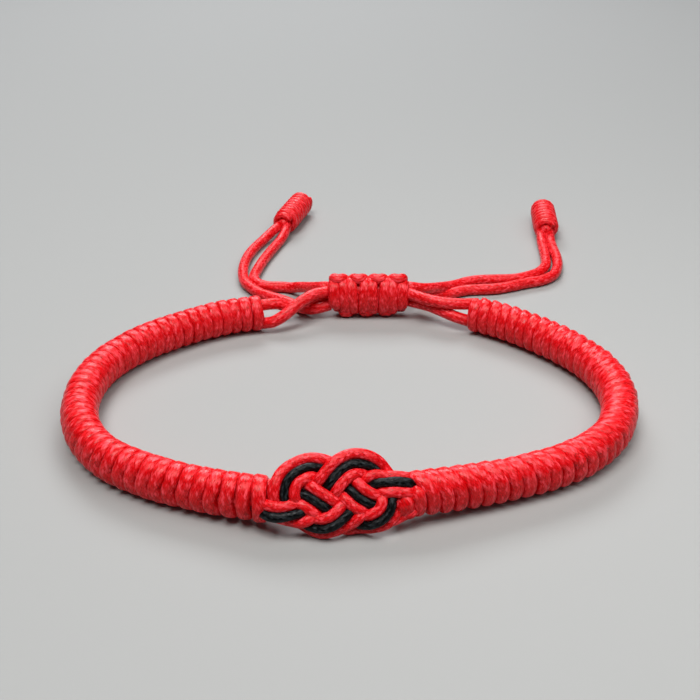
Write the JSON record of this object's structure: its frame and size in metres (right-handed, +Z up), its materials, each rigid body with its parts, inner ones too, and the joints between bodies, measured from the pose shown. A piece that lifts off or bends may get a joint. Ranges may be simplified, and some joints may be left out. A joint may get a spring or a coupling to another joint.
{
  "type": "braided bracelet",
  "caption": "Knotted cord bracelet: two round woven bands joined by a flat two-strand knot in front, and a sliding knot at the back with loose tails that end in barrel knots.",
  "frame": {"origin": "on the surface the bracelet lies on, under the middle of its loop's bounding box, the loose tails and their end knots left out", "axes": "+X along the loop's longer way, to the right as seen from the front knot; +Y from the front knot to the sliding knot; +Z up, out of the surface"},
  "size_m": [0.078, 0.1016, 0.0091],
  "materials": {
    "cord_red": "satin",
    "cord_black": "satin"
  },
  "bodies": {
    "root": {"left_band": "cord_red", "right_band": "cord_red", "knot_left_red_outer": "cord_red", "knot_left_black": "cord_black", "knot_left_red_inner": "cord_red", "knot_right_red_outer": "cord_red", "knot_right_black": "cord_black", "knot_right_red_inner": "cord_red", "sliding_knot": "cord_red", "closure_left_low": "cord_red", "closure_left_high": "cord_red", "closure_right_low": "cord_red", "closure_right_high": "cord_red", "tail_left_outer": "cord_red", "tail_left_inner": "cord_red", "tail_right_outer": "cord_red", "tail_right_inner": "cord_red", "end_knot_left": "cord_red", "end_knot_right": "cord_red"}
  },
  "joints": []
}
